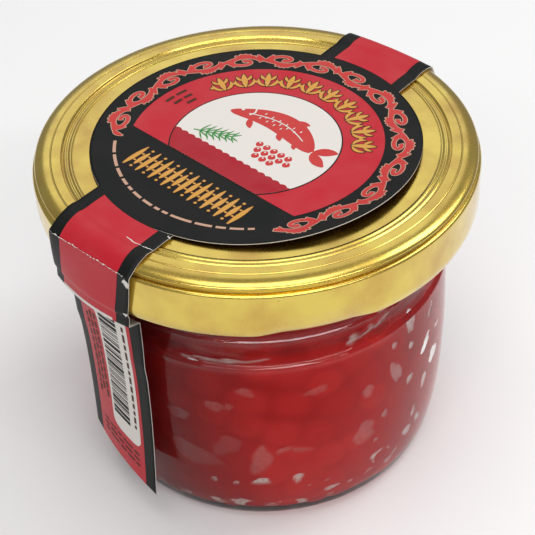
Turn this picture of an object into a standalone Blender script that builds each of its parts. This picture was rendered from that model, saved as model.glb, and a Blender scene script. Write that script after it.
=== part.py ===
"""A shut glass jar of salmon roe: a round clear jar, the roe heaped in it, a gold twist-off lid
and a paper seal label that lies on the lid and hangs down the front and the back of the jar.
Metres, +Z up, origin at the centre of the base, the label's front strip towards -Y."""

import math
import random

import bmesh
import bpy
from mathutils import Matrix, Vector

MM = 0.001
SEGMENTS = 48
GAP = 0.3 * MM

# Glass jar
REST_INNER_R = 20.5 * MM
REST_OUTER_R = 25.6 * MM
PUSH_UP = 1.0 * MM
WALL_R = 30.5 * MM
HEEL_HEIGHT = 24.3 * MM
HEEL_INSET = 4.15 * MM
SHOULDER_R = 30.2 * MM
SHOULDER_Z = 35.5 * MM
NECK_R = 29.2 * MM
NECK_BEAD_R = 29.7 * MM
NECK_BEAD_Z = 41.2 * MM
FINISH_R = 31.0 * MM
FINISH_LOW_Z = 46.4 * MM
RIM_Z = 54.5 * MM
RIM_ROUND = 0.8 * MM
BORE_R = 26.8 * MM
INNER_R = 27.8 * MM
INNER_SHOULDER_Z = 37.0 * MM
FLOOR_Z = 2.6 * MM
FLOOR_CORNER_WIDTH = 4.5 * MM
FLOOR_CORNER_HEIGHT = 9.0 * MM

# Twist-off lid
LID_R = 34.75 * MM
LID_SHEET = 0.5 * MM
PANEL_Z = 55.45 * MM
PANEL_R = 28.3 * MM
RING_RIDGE = 0.25 * MM
BAND_INNER_R = 30.1 * MM
BAND_OUTER_R = 31.7 * MM
BAND_Z = 55.85 * MM
LID_SHOULDER_R = 34.3 * MM
LID_SHOULDER_Z = 54.5 * MM
SKIRT_TOP_Z = 54.0 * MM
SKIRT_LOW_R = 34.4 * MM
SKIRT_LOW_Z = 46.3 * MM
CURL_INNER_R = 33.0 * MM
CURL_HEIGHT = 1.3 * MM
LUGS = 4
LUG_AZIMUTH = math.radians(61)
LUG_HALF_ANGLE = math.radians(15)
LUG_DEPTH = 0.7 * MM
LUG_HEIGHT = 3.6 * MM

# Paper seal label
PAPER = 0.25 * MM
LABEL_R = 25.74 * MM
LABEL_EDGE_LIFT = 0.15 * MM
LOOSE_AZIMUTH = math.radians(83)
LOOSE_SPREAD = math.radians(38)
LOOSE_LIFT = 0.9 * MM
LOOSE_DEPTH = 6 * MM
STRIP_HALF_WIDTH = 8.43 * MM
STRIP_COLUMNS = 4
DISC_SIDE_STEPS = 14
HANG_TOP_R = 32.9 * MM
HANG_LOW = 31.4 * MM
HANG_END = 32.3 * MM
HANG_BOW = 0.6 * MM
HANG_ROWS = 6
FRONT_END_Z = 8.7 * MM
FRONT_END_SLANT = 2.0 * MM
FRONT_END_TWIST = 0.6 * MM
FRONT_SHIFT = 1.9 * MM
BACK_END_Z = 8.7 * MM

# Roe
FILL_Z = 48.5 * MM
EGG_D = 5.6 * MM
EGG_DEPTH = 0.9
EGG_COUNT = 240
EGG_CHOICES = 60
EGG_SIZE_SPREAD = 0.1
EGG_PLACE_SPREAD = 0.2 * MM
CORE_INSET = 2.5 * MM
CORE_STEP = 4.5 * MM
CORE_SEGMENTS = 24
ROE_SEED = 7


def material(name, colour, roughness, metallic=0.0, alpha=1.0, transmission=0.0):
    """A Principled material; the colour is in linear values."""
    made = bpy.data.materials.new(name)
    made.use_nodes = True
    shader = made.node_tree.nodes["Principled BSDF"]
    shader.inputs["Base Color"].default_value = (*colour, 1)
    shader.inputs["Roughness"].default_value = roughness
    shader.inputs["Metallic"].default_value = metallic
    shader.inputs["Alpha"].default_value = alpha
    shader.inputs["Transmission Weight"].default_value = transmission
    made.diffuse_color = (*colour, alpha)
    return made


def add_object(name, bm, finish, sharp_degrees=35):
    """The finished mesh as an object, smooth but for its real edges."""
    mesh = bpy.data.meshes.new(name)
    bmesh.ops.recalc_face_normals(bm, faces=bm.faces)
    bm.to_mesh(mesh)
    bm.free()
    mesh.materials.append(finish)
    mesh.shade_smooth()
    mesh.set_sharp_from_angle(angle=math.radians(sharp_degrees))
    made = bpy.data.objects.new(name, mesh)
    bpy.context.scene.collection.objects.link(made)
    return made


def turned(outline, segments=SEGMENTS):
    """Turns an outline of (radius, height) points, from axis to axis, about the Z axis."""
    bm = bmesh.new()
    points = [bm.verts.new((radius, 0, height)) for radius, height in outline]
    edges = [bm.edges.new(pair) for pair in zip(points, points[1:])]
    bmesh.ops.spin(bm, geom=points + edges, axis=(0, 0, 1), cent=(0, 0, 0),
                   angle=math.tau, steps=segments, use_merge=True)
    bmesh.ops.remove_doubles(bm, verts=bm.verts, dist=0.001 * MM)
    return bm


def arc(centre, radii, start, end, steps):
    """Points on an elliptic arc in the (radius, height) plane, between two angles in degrees."""
    angles = [math.radians(start + (end - start) * i / steps) for i in range(steps + 1)]
    return [(centre[0] + radii[0] * math.cos(a), centre[1] + radii[1] * math.sin(a)) for a in angles]


# The jar's inside, from the middle of the floor up to the rim
def inner_wall():
    corner = arc((INNER_R - FLOOR_CORNER_WIDTH, FLOOR_Z + FLOOR_CORNER_HEIGHT),
                 (FLOOR_CORNER_WIDTH, FLOOR_CORNER_HEIGHT), -90, 0, 5)
    waist = arc((BORE_R, INNER_SHOULDER_Z - 4 * MM), (INNER_R - BORE_R, 4 * MM), 0, 90, 2)
    return [(0, FLOOR_Z)] + corner + waist + [(BORE_R, RIM_Z - RIM_ROUND)]


# The clear jar: a wide round heel, an upright wall, a small step in to the neck with its bead,
# and the thicker finish that the lid screws on to. It stands on a flat ring round a push-up.
def glass_jar():
    clear = material("clear_glass", (0.95, 0.97, 0.96), 0.02, alpha=0.35, transmission=1.0)
    heel = arc((WALL_R - HEEL_INSET, HEEL_HEIGHT), (HEEL_INSET, HEEL_HEIGHT), -84, 0, 6)
    step = arc((SHOULDER_R - 1 * MM, SHOULDER_Z), (1 * MM, 1.2 * MM), 0, 80, 2)
    outline = [(0, PUSH_UP), (REST_INNER_R - 2 * MM, 0.6 * PUSH_UP), (REST_INNER_R, 0), (REST_OUTER_R, 0)]
    outline += heel + step
    outline += [(NECK_R, NECK_BEAD_Z - 0.8 * MM), (NECK_BEAD_R, NECK_BEAD_Z), (NECK_R, NECK_BEAD_Z + 0.8 * MM)]
    outline += [(NECK_R, FINISH_LOW_Z - 1.2 * MM), (FINISH_R, FINISH_LOW_Z), (FINISH_R, RIM_Z - RIM_ROUND)]
    outline += [(FINISH_R - RIM_ROUND, RIM_Z), (BORE_R + RIM_ROUND, RIM_Z)]
    outline += reversed(inner_wall())
    add_object("glass_jar", turned(outline), clear)


def along(outline, distance):
    """The place and the outward normal at this distance along an outline."""
    for (r0, z0), (r1, z1) in zip(outline, outline[1:]):
        length = math.hypot(r1 - r0, z1 - z0)
        if distance <= length:
            part = distance / length
            return (r0 + part * (r1 - r0), z0 + part * (z1 - z0)), ((z1 - z0) / length, -(r1 - r0) / length)
        distance -= length
    return outline[-1], (0, 1)


def core_outline(wall):
    """The wall's outline moved in by the core's depth, from the middle of the floor to the top."""
    depth = CORE_INSET + GAP
    total = sum(math.dist(a, b) for a, b in zip(wall, wall[1:]))
    count = round(total / CORE_STEP)
    moved = []
    for i in range(1, count):
        (radius, height), (out_r, out_z) = along(wall, total * i / count)
        moved.append((radius - depth * out_r, min(height - depth * out_z, FILL_Z - depth)))
    return [(0, FLOOR_Z + depth)] + moved + [(0, FILL_Z - depth)]


def draw_place(wall, total, draw):
    """A place against the jar's inside, drawn evenly over its area: the middle of an egg there
    and the way out to the glass."""
    (radius, height), (out_r, out_z) = along(wall, draw.uniform(0, total))
    while draw.uniform(0, INNER_R) > radius:
        (radius, height), (out_r, out_z) = along(wall, draw.uniform(0, total))
    angle = draw.uniform(0, math.tau)
    inset = GAP + EGG_DEPTH * EGG_D / 2 + draw.uniform(0, EGG_PLACE_SPREAD)
    reach = min(radius - inset * out_r, radius if height < INNER_SHOULDER_Z else BORE_R - inset)
    level = min(height - inset * out_z, FILL_Z - inset)
    middle = (reach * math.cos(angle), reach * math.sin(angle), level)
    return middle, (out_r * math.cos(angle), out_r * math.sin(angle), out_z)


def egg_places(wall, draw):
    """The eggs' places, spread evenly: each next egg takes the freest of a few drawn places."""
    total = sum(math.dist(a, b) for a, b in zip(wall, wall[1:]))
    places = [draw_place(wall, total, draw)]
    while len(places) < EGG_COUNT:
        drawn = [draw_place(wall, total, draw) for _ in range(EGG_CHOICES)]
        places.append(max(drawn, key=lambda one: min(math.dist(one[0], other[0]) for other in places)))
    return places


def add_egg(name, middle, outward, diameter, twist, group):
    """One egg of few sides, a little flattened against the glass, as an object in the group. Its
    widest ring lies 60 degrees from its poles."""
    bm = bmesh.new()
    turn = Vector(outward).to_track_quat("Z", "Y").to_matrix().to_4x4() @ Matrix.Rotation(twist, 4, "Z")
    widest = diameter / 2 / math.sin(math.radians(60))
    size = Matrix.Diagonal((widest, widest, EGG_DEPTH * diameter / 2, 1))
    bmesh.ops.create_uvsphere(bm, u_segments=6, v_segments=3, radius=1,
                              matrix=Matrix.Translation(middle) @ turn @ size)
    mesh = bpy.data.meshes.new(name)
    bm.to_mesh(mesh)
    bm.free()
    group.objects.link(bpy.data.objects.new(name, mesh))


# The roe: a core in the form of the jar's inside, with the outermost eggs fused on all round it,
# on the floor of the jar and on top.
def roe():
    red = material("salmon_roe", (0.42, 0.012, 0.016), 0.25)
    draw = random.Random(ROE_SEED)
    wall = [point for point in inner_wall() if point[1] < FILL_Z] + [(BORE_R, FILL_Z), (0, FILL_Z)]
    core = add_object("roe", turned(core_outline(wall), CORE_SEGMENTS), red)
    eggs = bpy.data.collections.new("eggs")
    for number, (middle, outward) in enumerate(egg_places(wall, draw)):
        diameter = EGG_D * draw.uniform(1 - EGG_SIZE_SPREAD, 1)
        add_egg(f"egg_{number}", middle, outward, diameter, draw.uniform(0, math.tau), eggs)
    fuse = core.modifiers.new("fuse", "BOOLEAN")
    fuse.operation = "UNION"
    fuse.operand_type = "COLLECTION"
    fuse.collection = eggs
    fuse.solver = "MANIFOLD"
    apply_modifier(core)
    for egg in list(eggs.objects):
        bpy.data.objects.remove(egg)
    bpy.data.collections.remove(eggs)


def apply_modifier(made):
    """Puts the evaluated mesh in place of the object's own and drops its modifiers."""
    bpy.context.view_layer.update()
    graph = bpy.context.evaluated_depsgraph_get()
    mesh = bpy.data.meshes.new_from_object(made.evaluated_get(graph))
    made.modifiers.clear()
    made.data = mesh


def lug_press(angle):
    """How far the skirt is pressed in at this azimuth, from 0 to 1: one flat for each lug."""
    turn = math.tau / LUGS
    from_lug = abs((angle - LUG_AZIMUTH + turn / 2) % turn - turn / 2)
    return max(0.0, min(1.0, 2.5 * (1 - from_lug / LUG_HALF_ANGLE)))


# The lid: thin tinplate with a flat panel, two fine ring ridges, a raised band, a round shoulder,
# a shallow groove and the skirt, whose curled lower edge is pressed in to a flat at each lug.
def lid():
    gold = material("gold_tinplate", (0.62, 0.47, 0.12), 0.3, metallic=1.0)
    shoulder = arc((BAND_OUTER_R, LID_SHOULDER_Z), (LID_SHOULDER_R - BAND_OUTER_R, BAND_Z - LID_SHOULDER_Z),
                   90, 0, 3)
    outline = [(0, PANEL_Z), (PANEL_R, PANEL_Z)]
    outline += [(PANEL_R + 0.5 * MM, PANEL_Z + RING_RIDGE), (PANEL_R + 0.9 * MM, PANEL_Z)]
    outline += [(BAND_INNER_R, BAND_Z)] + shoulder
    outline += [(LID_R - 0.05 * MM, SKIRT_TOP_Z), (LID_R, SKIRT_LOW_Z + CURL_HEIGHT)]
    outline += [(SKIRT_LOW_R, SKIRT_LOW_Z), (CURL_INNER_R + 0.3 * MM, SKIRT_LOW_Z)]
    outline += [(CURL_INNER_R, SKIRT_LOW_Z + CURL_HEIGHT), (LID_R - LID_SHEET, SKIRT_LOW_Z + 2 * CURL_HEIGHT)]
    outline += [(LID_R - LID_SHEET, SKIRT_TOP_Z), (LID_SHOULDER_R - 2 * LID_SHEET, RIM_Z + GAP), (0, RIM_Z + GAP)]
    bm = turned(outline)
    press_top = SKIRT_LOW_Z + LUG_HEIGHT
    for vert in bm.verts:
        reach = math.hypot(vert.co.x, vert.co.y)
        low = (press_top - vert.co.z) / LUG_HEIGHT
        if reach < CURL_INNER_R - LID_SHEET or low <= 0:
            continue
        azimuth = math.atan2(vert.co.x, -vert.co.y)
        keep = 1 - lug_press(azimuth) * low * LUG_DEPTH / reach
        vert.co.x *= keep
        vert.co.y *= keep
    add_object("lid", bm, gold, sharp_degrees=50)


def strip_route():
    """The underside of the strip as it leaves the disc, as (radius, height, sideways) points: down
    into the valley before the raised band, over the band, out to the crease at the lid's edge, down
    the skirt and in under it. The strip follows the round lid up to the end of this route. Where it
    was folded askew, it strays to one side by the last number times its whole shift."""
    under_lid = LID_R + GAP
    return [(PANEL_R + 0.4 * MM, PANEL_Z + RING_RIDGE + GAP, 0.15),
            (PANEL_R + 1.1 * MM, PANEL_Z + 1.4 * GAP, 0.25),
            (BAND_INNER_R, BAND_Z + 1.2 * GAP, 0.4),
            (BAND_OUTER_R + 0.5 * MM, BAND_Z + 1.2 * GAP, 0.6),
            (LID_SHOULDER_R - 0.6 * MM, LID_SHOULDER_Z + 0.9 * MM, 0.85),
            (under_lid, LID_SHOULDER_Z - 0.1 * MM, 1),
            (under_lid, SKIRT_LOW_Z + CURL_HEIGHT, 0.25),
            (SKIRT_LOW_R + GAP, SKIRT_LOW_Z - 1.2 * GAP, 0.1),
            (HANG_TOP_R, SKIRT_LOW_Z - 2.2 * MM, 0)]


def hang(part, side):
    """How far the hanging paper stands from the jar's axis, at this part of its drop (0 to 1) and
    this part of its width (-1 to 1): nearly flat, close to the wall, and springing off it below."""
    drawn_in = (HANG_TOP_R - HANG_LOW) * (1 - part) ** 4
    spring = (HANG_END - HANG_LOW) * part ** 2
    return HANG_LOW + drawn_in + spring - HANG_BOW * side * side


def add_strip(bm, rim, facing, end_height, twist, shift):
    """One strip from the rim's points on: over the lid by its route, then down past the glass."""
    rows = [rim]
    sides = [2 * i / STRIP_COLUMNS - 1 for i in range(STRIP_COLUMNS + 1)]
    for radius, height, sideways in strip_route():
        row = []
        for side in sides:
            across = side * STRIP_HALF_WIDTH + shift * sideways
            row.append(bm.verts.new((facing * across, -facing * math.sqrt(radius ** 2 - across ** 2), height)))
        rows.append(row)
    start = strip_route()[-1][1]
    for step in range(1, HANG_ROWS + 1):
        part = step / HANG_ROWS
        row = []
        for side in sides:
            out = hang(part, side) + twist * side * part
            height = start + (end_height(side) - start) * part
            row.append(bm.verts.new((facing * side * STRIP_HALF_WIDTH, -facing * out, height)))
        rows.append(row)
    for above, below in zip(rows, rows[1:]):
        for i in range(STRIP_COLUMNS):
            bm.faces.new((above[i], below[i], below[i + 1], above[i + 1]))


def edge_height(azimuth):
    """How high the rim of the disc stands off the panel: a little all round, and more at the front
    right, where the glue has let go."""
    return LABEL_EDGE_LIFT + LOOSE_LIFT * math.exp(-((azimuth - LOOSE_AZIMUTH) / LOOSE_SPREAD) ** 2)


# The label: one sheet of paper, a round on the lid's panel with a strip to the front and one to
# the back. The sheet modelled here is its underside, and its thickness goes outwards.
def label():
    paper = material("printed_paper", (0.45, 0.02, 0.04), 0.4)
    bm = bmesh.new()
    half = math.asin(STRIP_HALF_WIDTH / LABEL_R)
    strip_angles = [math.asin((2 * i / STRIP_COLUMNS - 1) * STRIP_HALF_WIDTH / LABEL_R)
                    for i in range(STRIP_COLUMNS + 1)]
    side_angles = [half + (math.pi - 2 * half) * i / DISC_SIDE_STEPS for i in range(1, DISC_SIDE_STEPS)]
    half_turn = strip_angles + side_angles
    angles = half_turn + [math.pi + angle for angle in half_turn]
    under = PANEL_Z + GAP
    centre = bm.verts.new((0, 0, under))
    flat_r = LABEL_R - LOOSE_DEPTH
    inner = [bm.verts.new((flat_r * math.sin(a), -flat_r * math.cos(a), under)) for a in angles]
    rim = [bm.verts.new((LABEL_R * math.sin(a), -LABEL_R * math.cos(a), under + edge_height(a))) for a in angles]
    for i in range(len(angles)):
        nearest = (i + 1) % len(angles)
        bm.faces.new((centre, inner[i], inner[nearest]))
        bm.faces.new((inner[i], rim[i], rim[nearest], inner[nearest]))
    opposite = len(half_turn)
    add_strip(bm, rim[:STRIP_COLUMNS + 1], 1,
              lambda side: FRONT_END_Z - FRONT_END_SLANT * side, FRONT_END_TWIST, FRONT_SHIFT)
    add_strip(bm, rim[opposite:opposite + STRIP_COLUMNS + 1], -1, lambda side: BACK_END_Z, 0, 0)
    sheet = add_object("label", bm, paper)
    if sheet.data.polygons[0].normal.z < 0:
        sheet.data.flip_normals()
    thick = sheet.modifiers.new("thickness", "SOLIDIFY")
    thick.thickness = PAPER
    thick.offset = 1
    thick.use_even_offset = True


for old in list(bpy.data.objects):
    bpy.data.objects.remove(old)
glass_jar()
roe()
lid()
label()
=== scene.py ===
"""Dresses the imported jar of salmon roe: clear glass, eggs in brine, a gold twist-off lid and a printed seal label.

Lengths are in millimetres until add_piece turns them to metres. Azimuths are in degrees from -Y, the front, to +X.
"""
import math

import bmesh
import bpy
import numpy as np
from mathutils import Matrix, Vector


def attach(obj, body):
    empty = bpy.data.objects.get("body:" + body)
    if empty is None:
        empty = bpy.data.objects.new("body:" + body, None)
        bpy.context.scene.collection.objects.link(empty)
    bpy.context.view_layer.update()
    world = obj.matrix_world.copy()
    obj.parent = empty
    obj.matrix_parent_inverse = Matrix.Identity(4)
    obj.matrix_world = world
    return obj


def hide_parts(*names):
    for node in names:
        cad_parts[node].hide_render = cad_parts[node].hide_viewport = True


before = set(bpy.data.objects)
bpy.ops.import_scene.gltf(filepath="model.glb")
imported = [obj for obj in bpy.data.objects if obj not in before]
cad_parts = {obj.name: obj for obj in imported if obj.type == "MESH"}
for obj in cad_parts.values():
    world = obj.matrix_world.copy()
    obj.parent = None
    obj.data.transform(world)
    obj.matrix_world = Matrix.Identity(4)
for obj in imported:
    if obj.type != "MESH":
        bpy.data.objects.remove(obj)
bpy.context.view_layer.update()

# The glass jar
# Clear soda-lime glass, pressed and blown in a mould: a round body that draws in to a low foot, a short neck with a
# fine bead, and a finish that the lid grips. The walls are about 2.7 mm thick and the base is pushed up.

MM = 0.001
WALL_R, SHOULDER_R, NECK_R, FINISH_R = 30.5, 30.2, 29.2, 31.0
INNER_R, BORE_R = 27.8, 26.8
HEEL_HEIGHT, HEEL_INSET, HEEL_FULLNESS = 24.3, 3.85, 2.3
SHOULDER_Z, BEAD_Z, FINISH_Z, RIM_Z = 35.5, 40.3, 46.4, 54.5
FLOOR_R, FLOOR_Z, WAIST_Z, WAIST_HEIGHT = 16, 2.6, 33.0, 4
CORNER_Z, CORNER_WIDTH, CORNER_HEIGHT, CORNER_FULLNESS = 1.3, 4.2, 10.3, 2.3
PUSH_UP_Z, FOOT_R = 1.0, 20.5
# Whatever is farther out than this is on the jar's outside.
OUTSIDE_R = 28.5


def add_piece(name, points, faces):
    """A smooth-shaded mesh object with its faces turned outwards, from points in millimetres."""
    mesh = bpy.data.meshes.new(name)
    mesh.from_pydata([[c * MM for c in point] for point in points], [], faces)
    work = bmesh.new()
    work.from_mesh(mesh)
    bmesh.ops.recalc_face_normals(work, faces=work.faces)
    work.to_mesh(mesh)
    work.free()
    mesh.shade_smooth()
    piece = bpy.data.objects.new(name, mesh)
    bpy.context.scene.collection.objects.link(piece)
    return piece


def eased(corners, steps=5):
    """A profile through (radius, height, ease) corners, each rounded off over the length ease."""
    points = []
    for k, (radius, height, ease) in enumerate(corners):
        here = Vector((radius, height))
        if not ease:
            points.append(here)
            continue
        before = Vector(corners[k - 1][:2]) - here
        after = Vector(corners[k + 1][:2]) - here
        cut = min(ease, 0.49 * before.length, 0.49 * after.length)
        start = here + before.normalized() * cut
        end = here + after.normalized() * cut
        for i in range(steps + 1):
            t = i / steps
            points.append(start * (1 - t) ** 2 + here * 2 * t * (1 - t) + end * t * t)
    return points


def bow(centre, half_axes, start, end, steps, fullness=2):
    """Corners along an ellipse's arc, with no ease of their own. A fullness above 2 swells it towards its corner."""
    corners = []
    for i in range(steps + 1):
        angle = math.radians(start + (end - start) * i / steps)
        c, d = (math.copysign(abs(part) ** (2 / fullness), part) for part in (math.cos(angle), math.sin(angle)))
        corners.append((centre[0] + half_axes[0] * c, centre[1] + half_axes[1] * d, 0))
    return corners


def turned(profile, segments, press=None):
    """Points and faces of a closed round body, from a profile that starts and ends on the axis.
    press(radius, height, azimuth) gives the radius that a point ends at."""
    rows = [(r, z) for r, z in profile]
    points, faces = [(0, 0, rows[0][1])], []
    for radius, height in rows[1:-1]:
        for k in range(segments):
            azimuth = 360 * k / segments
            r = press(radius, height, azimuth) if press else radius
            turn = math.radians(azimuth)
            points.append((r * math.sin(turn), -r * math.cos(turn), height))
    points.append((0, 0, rows[-1][1]))
    last = len(points) - 1
    for k in range(segments):
        after = (k + 1) % segments
        faces.append((0, 1 + k, 1 + after))
        faces.append((last, last - segments + after, last - segments + k))
        for row in range(len(rows) - 3):
            low, high = 1 + row * segments, 1 + (row + 1) * segments
            faces.append((low + k, high + k, high + after, low + after))
    return points, faces


def fine(profile, step):
    """The same profile with its long runs cut into pieces no longer than step."""
    points = [Vector(profile[0][:2])]
    for corner in profile[1:]:
        end = Vector(corner[:2])
        start = points[-1]
        count = max(1, math.ceil((end - start).length / step))
        points += [start.lerp(end, (i + 1) / count) for i in range(count)]
    return points


corner_centre = (INNER_R - CORNER_WIDTH, CORNER_Z + CORNER_HEIGHT)
inner_wall = (
    [(FLOOR_R, FLOOR_Z, 3)]
    + bow(corner_centre, (CORNER_WIDTH, CORNER_HEIGHT), -90, 0, 26, CORNER_FULLNESS)
    + bow((BORE_R, WAIST_Z), (INNER_R - BORE_R, WAIST_HEIGHT), 0, 90, 8)
)
outside = (
    [(0, PUSH_UP_Z, 0), (18.5, 0.6, 2), (FOOT_R, 0, 0.4), (21.4, 0, 0.3), (22.3, 0.15, 0.3)]
    + [(25.6, 0.15, 0.5), (27.35, 0.36, 0.3)]
    + bow((WALL_R - HEEL_INSET, HEEL_HEIGHT), (HEEL_INSET, HEEL_HEIGHT), -77, 0, 28, HEEL_FULLNESS)
    + [(SHOULDER_R, SHOULDER_Z, 0.25), (SHOULDER_R - 0.7, SHOULDER_Z + 0.6, 0.3), (NECK_R, SHOULDER_Z + 1.7, 0.5)]
    + [(NECK_R, BEAD_Z - 0.45, 0.15), (NECK_R + 0.5, BEAD_Z, 0.28), (NECK_R, BEAD_Z + 0.45, 0.15)]
    + [(NECK_R, FINISH_Z - 1.2, 0.6), (FINISH_R, FINISH_Z, 0.5), (FINISH_R, RIM_Z, 0.8), (BORE_R, RIM_Z, 0.8)]
)
# Each thread's end: azimuth and height where it starts, and where it runs out.
THREADS = ((24, 39.3, 48, 37.2), (72, 37.2, 94, 41.0))
THREAD_RISE, THREAD_WIDTH = 0.35, 0.45


def thread_relief(radius, height, azimuth):
    """The low ridges where the moulded threads run out on the neck."""
    if radius < OUTSIDE_R:
        return radius
    for start, low, end, high in THREADS:
        part = (azimuth - start) / (end - start)
        across = height - (low + (high - low) * part)
        fade = max(0, min(1, 6 * part, 6 * (1 - part)))
        radius += THREAD_RISE * fade * math.exp(-((across / THREAD_WIDTH) ** 2))
    return radius


jar_profile = fine(eased(outside + list(reversed(inner_wall)) + [(0, FLOOR_Z, 0)]), 0.8)
points, faces = turned(jar_profile, 256, thread_relief)
jar = add_piece("jar", points, faces)


def point_values(piece, **values):
    """Gives each point of a piece a number for its material to read."""
    for name, numbers in values.items():
        layer = piece.data.attributes.new(name, "FLOAT", "POINT")
        layer.data.foreach_set("value", np.asarray(numbers, np.float32))


def ridge_share(radius, height):
    """How much of a fine ridge there is at this place: the shoulder's edge, or the bead."""
    if radius < OUTSIDE_R:
        return 0
    return max(math.exp(-(((height - z) / half) ** 4)) for z, half in ((SHOULDER_Z, 0.8), (BEAD_Z, 0.9)))


point_values(jar, ridge=[ridge_share(math.hypot(x, y), z) for x, y, z in points])


def colour(code):
    """An sRGB hex colour as the linear values that a shader takes."""
    parts = [int(code[k : k + 2], 16) / 255 for k in (1, 3, 5)]
    return [p / 12.92 if p <= 0.04045 else ((p + 0.055) / 1.055) ** 2.4 for p in parts] + [1]


def add_node(material, kind, values={}, links={}, **settings):
    """Adds one shader node, with its own settings, the values of its sockets and the outputs linked to them."""
    node = material.node_tree.nodes.new("ShaderNode" + kind)
    for key, value in settings.items():
        setattr(node, key, value)
    for socket, value in values.items():
        node.inputs[socket].default_value = value
    for socket, output in links.items():
        material.node_tree.links.new(output, node.inputs[socket])
    return node


def new_material(name):
    """An empty material."""
    material = bpy.data.materials.new(name)
    material.use_nodes = True
    material.node_tree.nodes.clear()
    return material


# A Mix node's two colour inputs, and its colour output.
FIRST, SECOND, MIXED = 6, 7, 2

# Moulded soda-lime glass: colourless and fire-polished, with the faint waves that a mould leaves in its reflections.
# Only its fine ridges glint: elsewhere the table's reflection is kept faint, so the roe shows its full colour.
MOULD_WAVE = 9
glass = new_material("moulded_soda_lime_glass")
in_place = {"Vector": add_node(glass, "TexCoord").outputs["Object"]}
waves = add_node(glass, "TexNoise", {"Scale": 1 / (MOULD_WAVE * MM), "Detail": 1.5}, in_place)
bumps = add_node(glass, "Bump", {"Strength": 0.25, "Distance": 0.15 * MM}, {"Height": waves.outputs["Fac"]})
ridge = add_node(glass, "Attribute", attribute_name="ridge")
tints = {FIRST: colour("#404040"), SECOND: colour("#FFFFFF")}
glint = add_node(glass, "Mix", tints, {"Factor": ridge.outputs["Fac"]}, data_type="RGBA")
clear = {"Base Color": colour("#FBFDFC"), "Roughness": 0.0, "IOR": 1.45, "Transmission Weight": 1.0}
waved = {"Normal": bumps.outputs["Normal"], "Specular Tint": glint.outputs[MIXED]}
surface = add_node(glass, "BsdfPrincipled", clear, waved)
add_node(glass, "OutputMaterial", links={"Surface": surface.outputs["BSDF"]})
jar.data.materials.append(glass)

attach(jar, "root")
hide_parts("glass_jar")

# The roe
# Whole salted salmon eggs, 5.5 to 5.9 mm across, packed until they press flat on the glass and on each other. Thin red
# brine fills the space between them, with a few pockets of air and froth caught against the wall. Their pale colour is
# partly froth and partly painted glare: painted reflections, glints and light.

FILL_Z = 48.5
EGG_R, EGG_SPREAD = 2.9, 0.12
EGG_SPACING = 5.25
CENTRE_DEPTH, TOP_GAP = 2.1, 2.3
EGG_REACH, BRINE_REACH = 0.12, 0.05
ROE_SEED = 11
rng = np.random.default_rng(ROE_SEED)

wall_line = np.array([(r, z) for r, z in fine(eased([(8, FLOOR_Z, 0)] + inner_wall + [(BORE_R, FILL_Z, 0)]), 0.4)])
slope = np.gradient(wall_line, axis=0)
wall_normal = np.stack([slope[:, 1], -slope[:, 0]], 1) / np.linalg.norm(slope, axis=1)[:, None]
wall_run = np.concatenate([[0], np.cumsum(np.linalg.norm(np.diff(wall_line, axis=0), axis=1))])
centre_line = wall_line - CENTRE_DEPTH * wall_normal
centre_line = centre_line[centre_line[:, 1] < FILL_Z - TOP_GAP]
centre_normal = wall_normal[: len(centre_line)]
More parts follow.
